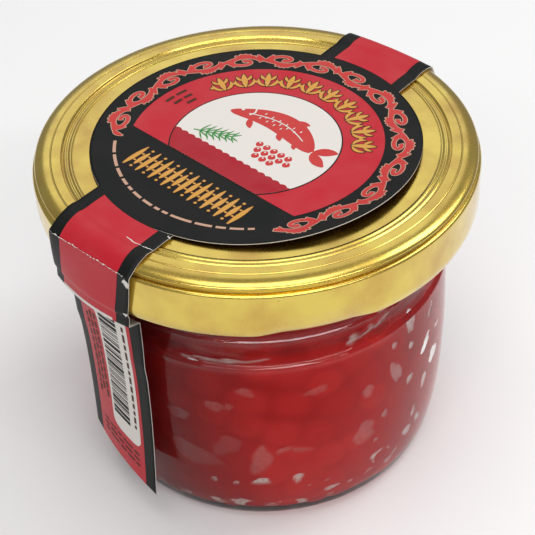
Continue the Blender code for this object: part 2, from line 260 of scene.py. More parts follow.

# Each pocket: azimuth, height, half width, half height, its slant in degrees, how deep the brine stands back, and its
# froth and painted glare. The flat ones with no depth low near the foot are painted reflections, the thin ones near
# 35 mm on the neck are partly painted glints, and the two wide faint ones at the foot are painted light coming up
# through the heel.
POCKETS = (
    (44.8, 9.4, 1.2, 0.95, 0, 0.35, 1), (56.5, 9.6, 0.75, 1.15, 15, 0.35, 1), (68, 4.9, 1.2, 0.7, 0, 0, 1),
    (86, 7.9, 1.9, 1.5, 25, 0, 1), (91, 4.6, 0.9, 0.7, 30, 0, 0.8), (37.5, 3.1, 1.9, 1.4, -35, 0, 1),
    (57, 2.4, 2.1, 1.1, 0, 0, 1), (28.5, 3.0, 1.1, 0.9, -20, 0, 0.9), (29.4, 9, 0.45, 0.5, 0, 0.3, 0.6),
    (36.7, 8.8, 0.5, 0.4, 0, 0.3, 0.6), (75, 4.7, 0.4, 0.4, 0, 0, 0.7), (47.5, 2.6, 0.8, 0.6, 0, 0, 0.6),
    (108, 25.2, 0.8, 1.6, -35, 0.35, 1), (114, 20.3, 1.1, 1.7, -30, 0.35, 1), (99, 28.1, 0.4, 0.6, 0, 0.3, 0.8),
    (91, 30.9, 0.5, 0.6, 0, 0.3, 0.5), (98.8, 21.1, 0.55, 1.0, -15, 0.3, 0.8), (107.5, 17.1, 0.6, 1.3, -15, 0.3, 0.8),
    (102, 12.3, 0.5, 1.0, 0, 0.3, 0.8), (99, 8.8, 0.8, 1.2, 20, 0.3, 0.9), (87.4, 17.5, 0.4, 0.8, 0, 0.3, 0.4),
    (98.9, 33, 0.75, 2.2, 8, 0.3, 0.5), (76, 36.2, 1.2, 0.9, 25, 0.3, 0.8), (81, 36.5, 1.6, 0.5, 20, 0.3, 0.9),
    (87, 37.0, 1.9, 0.55, 28, 0.3, 0.7), (111, 31, 0.5, 1.2, -25, 0.3, 0.7), (118, 27, 0.6, 2.4, -20, 0.3, 0.8),
    (79.2, 15.5, 2.3, 1.9, 40, 0.3, 0.12), (92, 25, 0.9, 2.4, 12, 0.3, 0.15), (80.5, 24.4, 0.9, 1.2, 20, 0.3, 0.12),
    (63.1, 28.5, 1.6, 0.8, 10, 0.25, 0.1), (41.1, 29.5, 1.4, 0.8, -10, 0.25, 0.1),
    (31.3, 26, 1.7, 0.8, -15, 0.25, 0.08), (36, 26.2, 0.6, 0.6, 0, 0.25, 0.06), (19, 22.8, 2.0, 0.9, -10, 0.25, 0.05),
    (45, 14.5, 1.6, 3.4, 0, 0.25, 0.14), (52, 16.6, 1.3, 0.5, 15, 0.25, 0.15), (58, 16.2, 1.7, 0.5, -10, 0.25, 0.12),
    (24, 14.3, 4.6, 1.8, -12, 0.2, 0.03), (34.5, 17.5, 2.4, 1.9, 30, 0.2, 0.03), (30, 35.1, 2.4, 0.35, -6, 0.25, 0.6),
    (37.5, 35.2, 2.6, 0.4, 4, 0.25, 0.75), (60, 1.9, 31, 2.3, 0, 0, 0.11), (33, 1.9, 12, 1.6, 0, 0, 0.16),
    (22, 2.6, 2.6, 0.7, -12, 0, 0.55), (31, 2.0, 1.6, 0.5, 0, 0, 0.7), (44, 2.0, 1.1, 0.4, 0, 0, 0.5),
    (51, 3.2, 0.3, 0.3, 0, 0, 0.6), (64, 3.0, 1.6, 0.5, 10, 0, 0.5), (72, 2.9, 2.2, 0.5, 0, 0, 0.45),
    (81, 5.0, 1.4, 0.5, 20, 0, 0.5), (95, 6.2, 1.6, 0.6, 30, 0, 0.6), (66, 7.4, 0.35, 0.3, 0, 0.2, 0.5),
    (60, 7.2, 0.3, 0.25, 0, 0.2, 0.4), (105, 9.5, 0.5, 1.2, 20, 0.2, 0.7), (84, 12.4, 0.35, 0.4, 0, 0.2, 0.4),
    (45, 35.6, 1.7, 0.35, 8, 0.25, 0.6), (33, 37.2, 5.6, 1.6, 0, 0.2, 0.04), (24, 34.5, 1.6, 0.35, -20, 0.2, 0.4),
)


# The waves in a pocket's edge: how many go round it, and how high each is.
EDGE_WAVES = ((2, 0.16), (3, 0.12), (5, 0.09))
EDGE_SHARPNESS = 3.5
POCKET_R = 27


def pockets_at(at, swell=0):
    """How deep the brine stands back and how pale it is painted, froth and painted glare, at each of these points,
    with the pockets grown by swell.
    """
    up = wall_line[:, 0] > INNER_R - CORNER_WIDTH
    run = np.interp(at[:, 2], wall_line[up, 1], wall_run[up])
    azimuth = np.degrees(np.arctan2(at[:, 0], -at[:, 1]))
    deep, froth = np.zeros(len(at)), np.zeros(len(at))
    shapes = np.random.default_rng(ROE_SEED)
    for turn, height, wide, tall, slant, depth, white in POCKETS:
        here = np.interp(height, wall_line[up, 1], wall_run[up])
        across = np.radians(azimuth - turn) * POCKET_R
        along = run - here
        c, d = math.cos(math.radians(slant)), math.sin(math.radians(slant))
        x, y = (c * across + d * along) / (wide + swell), (c * along - d * across) / (tall + swell)
        phase = shapes.uniform(0, 2 * math.pi, 3)
        round_it = np.arctan2(y, x)
        edge = sum((high * np.sin(n * round_it + start) for (n, high), start in zip(EDGE_WAVES, phase)), 1)
        inside = np.clip(EDGE_SHARPNESS * (edge - np.hypot(x, y)), 0, 1)
        deep = np.maximum(deep, depth * inside)
        froth = np.maximum(froth, white * inside)
    return deep, froth


# How light the roe's colour is painted, a painted shade: by degrees from the front strip, by degrees from the back
# strip, and by height in the neck.
FRONT_PAINTED_LIGHT = (14, 22, 30, 38, 48, 82, 100, 125), (0.34, 0.42, 0.56, 0.72, 0.92, 0.94, 0.7, 0.8)
BACK_PAINTED_LIGHT = (14, 22, 38, 55), (0.4, 0.5, 0.75, 0.9)
NECK_PAINTED_LIGHT = (34, 40, 47), (1, 0.72, 0.55)
BACK_FROM = 125


def light_share(at):
    """Painted shade for the roe's colour at each point: less light beside the strips, and up in the neck
    under the lid.
    """
    turn = np.abs(np.degrees(np.arctan2(at[:, 0], -at[:, 1])))
    beside = np.where(turn > BACK_FROM, np.interp(180 - turn, *BACK_PAINTED_LIGHT), np.interp(turn, *FRONT_PAINTED_LIGHT))
    return beside * np.interp(at[:, 2], *NECK_PAINTED_LIGHT)


def round_points(radius, turn, height):
    """Points at these radii, turns in radians and heights."""
    return np.stack([radius * np.sin(turn), -radius * np.cos(turn), height], 1)


def nearest_row(at, line):
    """Each point's distance from the axis, and the row of a profile line that lies nearest to it."""
    radius = np.hypot(at[:, 0], at[:, 1])
    return radius, np.argmin((radius[:, None] - line[:, 0]) ** 2 + (at[:, 2, None] - line[:, 1]) ** 2, axis=1)


def stand_back(at, deep):
    """Moves the points that lie in a pocket back from the wall, along its normal."""
    radius, row = nearest_row(at, wall_line)
    outside = (radius - wall_line[row, 0]) * wall_normal[row, 0] + (at[:, 2] - wall_line[row, 1]) * wall_normal[row, 1]
    move = np.where(deep > 0, np.clip(outside + deep, 0, None), 0)
    radius_after = radius - move * wall_normal[row, 0]
    at = at.copy()
    at[:, :2] *= (radius_after / np.maximum(radius, 1e-6))[:, None]
    at[:, 2] -= move * wall_normal[row, 1]
    return at


# How the eggs settle: how closely they are thrown in, and then how often, from how far and how hard they push apart.
CLOSENESS, PUSHES, PUSH_REACH, PUSH_SHARE = 0.88, 80, 1.08, 0.25


def settled_eggs():
    """Egg centres and their ways out to the wall: thrown at random, then pushed apart to lie like packed roe."""
    runs = np.linalg.norm(np.diff(centre_line, axis=0), axis=1)
    area = float((runs * (centre_line[1:, 0] + centre_line[:-1, 0]) / 2).sum() * 2 * math.pi)
    count = int(area / (CLOSENESS * EGG_SPACING**2))
    weight = centre_line[:, 0] / centre_line[:, 0].sum()
    row = rng.choice(len(centre_line), count, p=weight)
    turn = rng.uniform(0, 2 * math.pi, count)
    radius, height = centre_line[row].T
    at = round_points(radius, turn, height)
    for _ in range(PUSHES):
        gap = at[:, None] - at[None]
        far = np.linalg.norm(gap, axis=2) + np.eye(count) * 1e3
        push = np.clip(PUSH_REACH * EGG_SPACING - far, 0, None) / far
        at += PUSH_SHARE * (gap * push[:, :, None]).sum(1)
        turn = np.arctan2(at[:, 0], -at[:, 1])
        _, row = nearest_row(at, centre_line)
        radius, height = centre_line[row].T
        at = round_points(radius, turn, height)
    lean, rise = centre_normal[row].T
    return at, round_points(lean, turn, rise)


egg_at, egg_out = settled_eggs()
egg_size = EGG_R + rng.uniform(-EGG_SPREAD, EGG_SPREAD, len(egg_at))
egg_tone = rng.uniform(0, 1, len(egg_at))
SIDES, RINGS = 20, 13
tilts = np.pi * (np.arange(1, RINGS) / RINGS) ** 1.2
spins = 2 * np.pi * np.arange(SIDES) / SIDES
ball = [(math.sin(t) * math.cos(s), math.sin(t) * math.sin(s), math.cos(t)) for t in tilts for s in spins]
ball = np.array([(0, 0, 1)] + ball + [(0, 0, -1)])


def ring_faces(count, rings):
    """Faces from a middle point out over rings of points, each ring with this count."""
    faces = [(0, 1 + k, 1 + (k + 1) % count) for k in range(count)]
    for ring in range(rings - 1):
        low, high = 1 + ring * count, 1 + (ring + 1) * count
        faces += [(low + k, high + k, high + (k + 1) % count, low + (k + 1) % count) for k in range(count)]
    return faces


tail = len(ball) - 1
ball_faces = ring_faces(SIDES, RINGS - 1)
ball_faces += [(tail, tail - SIDES + (k + 1) % SIDES, tail - SIDES + k) for k in range(SIDES)]


# How far off an egg's neighbours count, in egg radii, and how sharply it bends where it presses on them.
NEIGHBOUR_REACH, PRESS_SHARPNESS = 2.2, 10.0


def pressed_egg(which):
    """One egg's points: a ball that flattens smoothly on the glass and on the eggs round it."""
    at, out = egg_at[which], egg_out[which]
    across = np.cross(out, (0, 0, 1.0))
    across /= np.linalg.norm(across)
    ways = ball @ np.stack([across, np.cross(out, across), out])
    gaps = egg_at - at
    far = np.linalg.norm(gaps, axis=1)
    near = (far > 0) & (far < NEIGHBOUR_REACH * EGG_R)
    limits = [np.full(len(ways), egg_size[which])]
    limits.append((CENTRE_DEPTH + EGG_REACH) / np.clip(ways @ out, 1e-3, None))
    for gap, length in zip(gaps[near], far[near]):
        limits.append(0.5 * length / np.clip(ways @ gap / length, 1e-3, None))
    reach = (np.array(limits) ** -PRESS_SHARPNESS).sum(0) ** (-1 / PRESS_SHARPNESS)
    return at + ways * reach[:, None]


# The eggs keep a little farther back from a pocket than the brine does.
POCKET_SWELL, POCKET_CLEAR = 0.45, 0.1
points = np.concatenate([pressed_egg(which) for which in range(len(egg_at))])
deep, _ = pockets_at(points, POCKET_SWELL)
points = stand_back(points, np.where(deep > 0, deep + POCKET_CLEAR, 0))
faces = [tuple(len(ball) * which + k for k in face) for which in range(len(egg_at)) for face in ball_faces]
eggs = add_piece("eggs", points.tolist(), faces)
tones, none = np.repeat(egg_tone, len(ball)), np.zeros(len(points))
point_values(eggs, egg_tone=tones, brine_depth=none, froth=none, light=light_share(points))

brine_line = wall_line + BRINE_REACH * wall_normal
brine_profile = [Vector((0, FLOOR_Z - BRINE_REACH))] + [Vector(p) for p in brine_line] + [Vector((0, FILL_Z))]
points, faces = turned(brine_profile, 448)
at = np.array(points)
deep, froth = pockets_at(at)
on_top = at[:, 2] > FILL_Z - 0.1
froth[on_top] = deep[on_top] = 0
depths, tones = np.empty(len(at)), np.empty(len(at))
for some in np.array_split(np.arange(len(at)), 12):
    far = np.linalg.norm(at[some][:, None] - egg_at[None], axis=2) - egg_size[None]
    depths[some] = np.clip(far.min(1), 0, None)
    tones[some] = egg_tone[far.argmin(1)]
brine = add_piece("brine", stand_back(at, deep).tolist(), faces)
point_values(brine, egg_tone=tones, brine_depth=depths, froth=froth, light=light_share(at))

# Salted roe in brine: deep translucent red skins, each egg a little lighter or darker, and darker where brine lies
# over them. A painted shade darkens them further where less light gets in, beside the strips and up under the lid.
# Against the wet glass there is almost no gloss. Froth is a pale pink, thinner between its bubbles, which are drawn
# at about half a millimetre, coarser than they are. The same pale paint is partly painted glare: reflections in the
# air pockets, glints at the neck and light coming up through the heel.
BUBBLE = 0.6
BRINE_TINT = 0.7
roe = new_material("salted_roe_in_brine")
egg_shade = add_node(roe, "Attribute", attribute_name="egg_tone")
over = add_node(roe, "Attribute", attribute_name="brine_depth")
foam_and_glare = add_node(roe, "Attribute", attribute_name="froth")
reds = {FIRST: colour("#DA2022"), SECOND: colour("#EC302C")}
skin = add_node(roe, "Mix", reds, {"Factor": egg_shade.outputs["Fac"]}, data_type="RGBA")
cover = add_node(roe, "Math", {1: BRINE_TINT}, {0: over.outputs["Fac"]}, operation="MULTIPLY", use_clamp=True)
covered = {"Factor": cover.outputs[0], FIRST: skin.outputs[MIXED]}
seen = add_node(roe, "Mix", {SECOND: colour("#CE1C1F")}, covered, data_type="RGBA")
inside = add_node(roe, "Attribute", attribute_name="light")
lighted = {"Factor": inside.outputs["Fac"], SECOND: seen.outputs[MIXED]}
# Painted shade: the roe's colour goes towards this dark red where less light is painted in.
painted_lit = add_node(roe, "Mix", {FIRST: colour("#200408")}, lighted, data_type="RGBA")
in_place = {"Vector": add_node(roe, "TexCoord").outputs["Object"]}
bubble = add_node(roe, "TexVoronoi", {"Scale": 1 / (BUBBLE * MM)}, in_place)
thinning = {"From Min": 0.15, "From Max": 0.75, "To Min": 1, "To Max": 0.55}
thin = add_node(roe, "MapRange", thinning, {"Value": bubble.outputs["Distance"]})
lather_and_glare = add_node(roe, "Math", links={0: foam_and_glare.outputs["Fac"], 1: thin.outputs["Result"]}, operation="MULTIPLY")
frothed = {"Factor": lather_and_glare.outputs[0], FIRST: painted_lit.outputs[MIXED]}
# The pale pink is froth, and in places painted glare: painted reflections, glints and light through the heel.
pale = add_node(roe, "Mix", {SECOND: colour("#F6E6DE")}, frothed, data_type="RGBA")
surface = add_node(roe, "BsdfPrincipled", {"Roughness": 0.5, "IOR": 1.1}, {"Base Color": pale.outputs[MIXED]})
add_node(roe, "OutputMaterial", links={"Surface": surface.outputs["BSDF"]})
for piece in (eggs, brine):
    piece.data.materials.append(roe)
    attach(piece, "root")
    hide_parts("roe")

# The lid
# A twist-off lid, pressed from lacquered tinplate: a flat panel inside a raised rim with two fine rings, a rounded
# shoulder, a straight skirt with four pressed lugs, and a rolled lower edge.

PANEL_Z, BAND_Z, SKIRT_TOP_Z, SKIRT_LOW_Z, LID_R = 55.45, 55.85, 54.0, 46.3, 34.75
BEND_R, BEND_Z, BEND_WIDTH = 31.9, 54.95, 2.4
LINER_Z = RIM_Z + 0.3
LUG_AZIMUTH, LUG_HALF_ANGLE, LUG_DEPTH, LUG_HEIGHT = 61, 15, 0.7, 3.6
lid_profile = (
    [(0, PANEL_Z, 0), (28.3, PANEL_Z, 0.2), (28.7, PANEL_Z + 0.22, 0.15), (29.1, PANEL_Z + 0.03, 0.15)]
    + [(29.5, PANEL_Z + 0.22, 0.15), (29.9, PANEL_Z, 0.12), (30.15, BAND_Z, 0.15), (31.6, BAND_Z, 0.08)]
    + [(31.75, BAND_Z - 0.08, 0.05), (BEND_R, BAND_Z, 0.05)]
    + bow((BEND_R, BEND_Z), (BEND_WIDTH, BAND_Z - BEND_Z), 85, 8, 14)
    + [(34.2, 54.9, 0.05), (33.3, 54.75, 0.15), (33.4, 54.4, 0.15), (34.5, 54.1, 0.15)]
    + [(LID_R - 0.03, SKIRT_TOP_Z - 0.15, 0.2), (LID_R, SKIRT_LOW_Z + 1.3, 1), (34.4, SKIRT_LOW_Z, 0.35)]
    + [(33.3, SKIRT_LOW_Z, 0.3), (33.0, SKIRT_LOW_Z + 1.3, 0.4), (34.25, SKIRT_LOW_Z + 2.6, 0.4)]
    + [(34.25, SKIRT_TOP_Z, 0), (33.3, LINER_Z, 0), (0, LINER_Z, 0)]
)


def lug_press(radius, height, azimuth):
    """Presses the lower skirt in where a lug grips the thread."""
    low = (SKIRT_LOW_Z + LUG_HEIGHT - height) / LUG_HEIGHT
    if radius < BEND_R or low < 0:
        return radius
    from_lug = abs((azimuth - LUG_AZIMUTH + 45) % 90 - 45)
    press = max(0, min(1, 2.5 * (1 - from_lug / LUG_HALF_ANGLE)))
    return radius - LUG_DEPTH * press * min(1, low)


lid = add_piece("lid", *turned(fine(eased(lid_profile), 0.6), 288, lug_press))

# Gold lacquer over tinplate: a yellow metal gloss under a clear film that whitens its highlights, with the fine upright
# grain of the drawn sheet, duller and brighter clouds where it has been handled, and a few dark specks painted in as
# small dark reflections.
GRAIN, CLOUD, DARK_REFLECTION_SPECK, REFLECTION_SPECKS_LEFT_OUT = 0.25, 7, 1.6, 0.82
lacquer = new_material("gold_lacquered_tinplate")
in_place = {"Vector": add_node(lacquer, "TexCoord").outputs["Object"]}
stretch = add_node(lacquer, "Mapping", {"Scale": (1, 1, 0.06)}, in_place)
drawn = {"Vector": stretch.outputs["Vector"]}
grain = add_node(lacquer, "TexNoise", {"Scale": 1 / (GRAIN * MM), "Detail": 2}, drawn)
cloud = add_node(lacquer, "TexNoise", {"Scale": 1 / (CLOUD * MM), "Detail": 3}, in_place)
reflection_speck = add_node(lacquer, "TexVoronoi", {"Scale": 1 / (DARK_REFLECTION_SPECK * MM)}, in_place)
dot_edge = {"From Min": 0.03, "From Max": 0.07, "To Min": 1, "To Max": 0}
dot = add_node(lacquer, "MapRange", dot_edge, {"Value": reflection_speck.outputs["Distance"]})
rare = add_node(lacquer, "SeparateColor", links={"Color": reflection_speck.outputs["Color"]})
few = add_node(lacquer, "Math", {1: REFLECTION_SPECKS_LEFT_OUT}, {0: rare.outputs["Red"]}, operation="GREATER_THAN")
reflection_mark = add_node(lacquer, "Math", links={0: dot.outputs["Result"], 1: few.outputs[0]}, operation="MULTIPLY")
worn = add_node(lacquer, "MapRange", {"From Min": 0.35, "From Max": 0.7}, {"Value": cloud.outputs["Fac"]})
golds = {FIRST: colour("#E0C65A"), SECOND: colour("#CCA74A")}
gold = add_node(lacquer, "Mix", golds, {"Factor": worn.outputs["Result"]}, data_type="RGBA")
reflection_specked = {"Factor": reflection_mark.outputs[0], FIRST: gold.outputs[MIXED]}
# Painted reflection: the dark specks stand for small reflections of dark surroundings in the lid.
tone = add_node(lacquer, "Mix", {SECOND: colour("#5A4420")}, reflection_specked, data_type="RGBA")
dull = add_node(lacquer, "MapRange", {"To Min": 0.13, "To Max": 0.26}, {"Value": worn.outputs["Result"]})
drawn_dull = {0: grain.outputs["Fac"], 2: dull.outputs["Result"]}
rough = add_node(lacquer, "Math", {1: 0.12}, drawn_dull, operation="MULTIPLY_ADD")
bumps = add_node(lacquer, "Bump", {"Strength": 0.25, "Distance": 0.01 * MM}, {"Height": grain.outputs["Fac"]})
gloss = {"Metallic": 1.0, "Coat Weight": 0.7, "Coat Roughness": 0.12}
film = {"Base Color": tone.outputs[MIXED], "Roughness": rough.outputs[0], "Normal": bumps.outputs["Normal"]}
surface = add_node(lacquer, "BsdfPrincipled", gloss, film)
add_node(lacquer, "OutputMaterial", links={"Surface": surface.outputs["BSDF"]})
lid.data.materials.append(lacquer)
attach(lid, "root")
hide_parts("lid")

# The seal label
# One die-cut sheet of coated paper: a round disc glued on the lid's panel, with a strip to the front and one to the
# back that fold over the lid's edge and hang on to the glass. It was stuck on a little turned, so its folds are askew.

PAPER = 0.12
DISC_R = 25.74
DISC_Z, EDGE_RISE = 55.72, 0.2
STRIP_HALF = 8.43
# Where the disc's edge has come unstuck, how far round and how far in that reaches, and how high it stands.
LOOSE_AZIMUTH, LOOSE_SPREAD, LOOSE_DEPTH, LOOSE_LIFT = 83, 38, 8, 0.95
FRONT, BACK = 1, -1


def on_disc(u, v, above=0):
    """A point on the disc's printed face: u to the right, v to the front. One side of its edge has come unstuck."""
    radius = math.hypot(u, v)
    azimuth = math.degrees(math.atan2(u, v))
    edge = max(0, 1 - (DISC_R - radius) / LOOSE_DEPTH)
    lift = LOOSE_LIFT * math.exp(-(((azimuth - LOOSE_AZIMUTH) / LOOSE_SPREAD) ** 2))
    return (u, -v, DISC_Z + edge**2 * (EDGE_RISE + lift) + above)


def measured(corners):
    """A route through these corners, as (length run, radius, height) arrays."""
    line = np.array(eased(corners))
    run = np.concatenate([[0], np.cumsum(np.hypot(*np.diff(line, axis=0).T))])
    return run, line[:, 0], line[:, 1]


# A strip's way over the panel's groove, over the lid's bend, down its skirt and in to the glass.
VALLEY, FRONT_FOLD, UNDER, HANG = (29.9, 55.98), (35.3, 54.95), (35.28, 46.7), (33.1, 44.1)
over_lid = {
    FRONT: [(31.3, 56.46, 0.8), (33.4, 56.2, 1.2), (*FRONT_FOLD, 0.22)],
    BACK: [(31.3, 56.3, 0.8), (33.4, 56.15, 0.8), (34.6, 55.68, 0.4), (35.3, 54.2, 0.4)],
}
route_start = [(DISC_R, DISC_Z + EDGE_RISE, 0), (28.4, 56.02, 1), (*VALLEY, 0.35)]
route_end = [(*UNDER, 0.3), (34.7, 45.9, 0.4), (33.3, 44.6, 0.9), (*HANG, 0)]
routes = {facing: measured(route_start + over + route_end) for facing, over in over_lid.items()}


def run_at(radius, height):
    """How far along the front strip's route this place lies."""
    run, r, z = routes[FRONT]
    return float(run[np.argmin(np.hypot(r - radius, z - height))])


VALLEY_T, FOLD_T, UNDER_T = run_at(*VALLEY), run_at(*FRONT_FOLD), run_at(*UNDER)
HANG_T = float(routes[FRONT][0][-1])
HANG_R, HANG_Z = HANG
# The hanging part: its radius in its middle and at its end, how far its edges bow in, and its end's cut and twist.
HANG_LOW, HANG_END, LEFT_BOW, RIGHT_BOW = 31.7, 32.5, 0.85, 0.6
END_Z, END_SLANT, END_TWIST = 8.7, 2.0, 0.9
HANG_LENGTH = HANG_Z - END_Z
STRIP_END = HANG_T + HANG_LENGTH
# How far each strip strays sideways: at the disc, in the groove, at the fold, under the skirt and where it hangs.
STRAY = {FRONT: (0, 0.57, 1.9, 0.29, 0), BACK: (1.1, 1.6, 2.6, 1.6, 1.2)}
# Each fold runs straight across: its distance from the axis in its middle, its slope, and the round that it leaves.
FOLD_V = {FRONT: (35.0, -0.062, 35.3), BACK: (33.95, -0.1, 34.75)}
FOLD_EASE, NEAR = 3, 0.1
# How far out the paper has to be to clear the lid at these heights.
LID_HEIGHTS, LID_REACH = (54.1, 55.2, 55.6), (LID_R + 0.25, 34.48, 34.02)


def on_strip(u, t, facing, above=0):
    """A point on a strip's printed face: u across it and t along it from the disc's edge."""
    side = u / STRIP_HALF
    front = facing == FRONT
    if t < HANG_T:
        length, radii, heights = routes[facing]
        t *= length[-1] / HANG_T
        low, high = max(0, t - NEAR), min(length[-1], t + NEAR)
        radius, before, after = (float(r) for r in np.interp((t, low, high), length, radii))
        height, above_it, below_it = (float(z) for z in np.interp((t, low, high), length, heights))
        run, fall = (after - before) / (high - low), (below_it - above_it) / (high - low)
        u += float(np.interp(t, (0, VALLEY_T, FOLD_T, UNDER_T, HANG_T), STRAY[facing]))
        v = math.sqrt(radius**2 - u**2)
        straight = float(np.interp(t, (FOLD_T - FOLD_EASE, FOLD_T, UNDER_T), (0, 1, 0)))
        middle, slope, round_r = FOLD_V[facing]
        v += straight * (middle + slope * u - math.sqrt(round_r**2 - u**2))
        if height < LID_HEIGHTS[-1]:
            v = max(v, math.sqrt(float(np.interp(height, LID_HEIGHTS, LID_REACH)) ** 2 - u**2))
        return (u * facing, -facing * (v - above * fall), height + above * run)
    u += STRAY[facing][-1]
    part = min(1, (t - HANG_T) / HANG_LENGTH)
    radius = HANG_LOW + (HANG_R - HANG_LOW) * (1 - part) ** 3 + (HANG_END - HANG_LOW) * part**2
    bowed = (LEFT_BOW if side < 0 else RIGHT_BOW) * side**2 * min(1, 3 * part)
    radius += above - bowed + front * END_TWIST * side * part
    height = HANG_Z + (END_Z - front * END_SLANT * side - HANG_Z) * part
    blend = min(1, 4 * part)
    v = (1 - blend) * math.sqrt(radius**2 - u**2) + blend * radius
    return (u * facing, -facing * v, height)


def grid_faces(wide, rows, first=0):
    """Four-sided faces over rows of points, each row this wide."""
    corners = [first + row * wide + k for row in range(rows - 1) for k in range(wide - 1)]
    return [(k, k + wide, k + wide + 1, k + 1) for k in corners]


STRIP_ROWS = [
    float(t)
    for start, end, count in ((0, FOLD_T - 0.4, 24), (FOLD_T - 0.3, FOLD_T + 0.3, 7), (FOLD_T + 0.4, STRIP_END, 120))
    for t in np.linspace(start, end, count)
]
STRIP_COLUMNS, SIDE_POINTS = 25, 72


def label_sheet():
    """The die-cut sheet: rings of the disc, and rows of each strip that start on its rim."""
    columns = np.linspace(-STRIP_HALF, STRIP_HALF, STRIP_COLUMNS)
    front_join = [math.asin((u + STRAY[FRONT][0]) / DISC_R) for u in columns]
    back_join = [math.pi + math.asin((u + STRAY[BACK][0]) / DISC_R) for u in columns]
    right_side = list(np.linspace(front_join[-1], back_join[0], SIDE_POINTS))[1:-1]
    left_side = list(np.linspace(back_join[-1], 2 * math.pi + front_join[0], SIDE_POINTS))[1:-1]
    turns = front_join + right_side + back_join + left_side
    loose_r = DISC_R - LOOSE_DEPTH
    radii = list(np.linspace(0.5, loose_r, 8)) + list(np.linspace(loose_r, DISC_R, 17))[1:]
    points = [on_disc(0, 0)]
    for radius in radii:
        points += [on_disc(radius * math.sin(a), radius * math.cos(a)) for a in turns]
    faces = ring_faces(len(turns), len(radii))
    for facing in (FRONT, BACK):
        faces += grid_faces(len(columns), len(STRIP_ROWS), len(points))
        points += [on_strip(float(u), t, facing) for t in STRIP_ROWS for u in columns]
    return points, faces


label = add_piece("label_sheet", *label_sheet())
work = bmesh.new()
work.from_mesh(label.data)
bmesh.ops.remove_doubles(work, verts=work.verts, dist=0.03 * MM)
bmesh.ops.recalc_face_normals(work, faces=work.faces)
if max(work.faces, key=lambda face: face.calc_center_median().z).normal.z < 0:
    bmesh.ops.reverse_faces(work, faces=work.faces)
work.to_mesh(label.data)
work.free()
label.data.shade_smooth()
thick = label.modifiers.new("paper", "SOLIDIFY")
thick.thickness = PAPER * MM
thick.offset = -1
thick.material_offset = 1
thick.material_offset_rim = 2


PAPER_TOOTH, INK_CLOUD = 0.35, 5


def printed(name, code, gloss=0.5, worn=0.03):
    """Offset ink on coated paper: a satin gloss, the fine tooth of the sheet, and a faint unevenness in the ink."""
    ink = new_material(name)
    in_place = {"Vector": add_node(ink, "TexCoord").outputs["Object"]}
    tooth = add_node(ink, "TexNoise", {"Scale": 1 / (PAPER_TOOTH * MM), "Detail": 3}, in_place)
    bumps = add_node(ink, "Bump", {"Strength": 0.25, "Distance": 0.02 * MM}, {"Height": tooth.outputs["Fac"]})
    cloud = add_node(ink, "TexNoise", {"Scale": 1 / (INK_CLOUD * MM), "Detail": 4}, in_place)
    thinning = {"From Min": 0.35, "From Max": 0.75, "To Max": worn}
    thin = add_node(ink, "MapRange", thinning, {"Value": cloud.outputs["Fac"]})
    shades = {FIRST: colour(code), SECOND: colour("#F0D8D0")}
    shade = add_node(ink, "Mix", shades, {"Factor": thin.outputs["Result"]}, data_type="RGBA")
    satin = {"Roughness": gloss, "Specular IOR Level": 0.2}
    skin = {"Base Color": shade.outputs[MIXED], "Normal": bumps.outputs["Normal"]}
    surface = add_node(ink, "BsdfPrincipled", satin, skin)
    add_node(ink, "OutputMaterial", links={"Surface": surface.outputs["BSDF"]})
    return ink


black_ink = printed("black_ink_on_coated_paper", "#0A0E0C", worn=0.005)
red_ink = printed("red_ink_on_coated_paper", "#BE1E2D", 0.36)
bare_paper = printed("bare_coated_paper", "#E2DCD6", 0.6)
# The disc's back is painted dark brown, a painted shade: the gap under its loose edge, which the gold panel reflects.
shade_painted_paper_back = printed("painted_shade_paper_back", "#3A2418", 0.6)
# Face, back and cut edge of the strips, and then of the disc.
for finish in (black_ink, bare_paper, bare_paper, black_ink, shade_painted_paper_back, bare_paper):
    label.data.materials.append(finish)
ON_DISC = 3
for polygon in label.data.polygons:
    polygon.material_index = ON_DISC if math.hypot(*polygon.center[:2]) < DISC_R * MM else 0
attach(label, "root")
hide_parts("label")

# The print on the label
# Offset inks on the sheet's face, each field a skin of its own: red and white grounds, a scroll border with a pale
# edge, gold ornament, a fish over waves, and plain bars where the small print of such a label stands.

INK = 0.02
ART_TURN = math.radians(2.4)


def lay(name, points, faces, ink):
    """Fixes a printed field to the sheet."""
    piece = add_piece(name, points, faces)
    if sum(polygon.normal.z for polygon in piece.data.polygons) < 0:
        piece.data.flip_normals()
    piece.data.materials.append(ink)
    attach(piece, "root")


def on_art(u, v, above):
    """A point of the disc's art, which lies a little turned, as the sheet does."""
    c, d = math.cos(ART_TURN), math.sin(ART_TURN)
    return on_disc(u * c + v * d, v * c - u * d, above)


def disc_field(outline, step, above):
    """A field of any rounded outline on the disc, as rings from its middle."""
    middle = np.mean(outline, axis=0)
    rings = max(2, math.ceil(np.linalg.norm(outline - middle, axis=1).max() / step))
    points = [on_art(*middle, above)]
    for ring in range(1, rings + 1):
        points += [on_art(*(middle + (p - middle) * ring / rings), above) for p in outline]
    return points, ring_faces(len(outline), rings)


def strip_field(u_low, u_high, t_low, t_high, facing, above):
    """A field on a strip. It bends in the sheet's own rows, so that the two never cross."""
    columns = np.linspace(u_low, u_high, max(2, math.ceil((u_high - u_low) / 0.7) + 1))
    rows = [t_low] + [t for t in STRIP_ROWS if t_low + 0.02 < t < t_high - 0.02] + [t_high]
    return [on_strip(float(u), t, facing, above) for t in rows for u in columns], grid_faces(len(columns), len(rows))


def cut_round(middle, radius, v_edge):
    """A circle cut straight across at v_edge, with points all along the cut."""
    corner = math.acos(min(1, (v_edge - middle[1]) / radius))
    turns = np.linspace(corner, 2 * math.pi - corner, 120)
    arc = [(middle[0] + radius * math.sin(a), middle[1] + radius * math.cos(a)) for a in turns]
    cut = [(float(u), v_edge) for u in np.linspace(arc[-1][0], arc[0][0], 40)[1:-1]]
    return np.array(arc + cut)


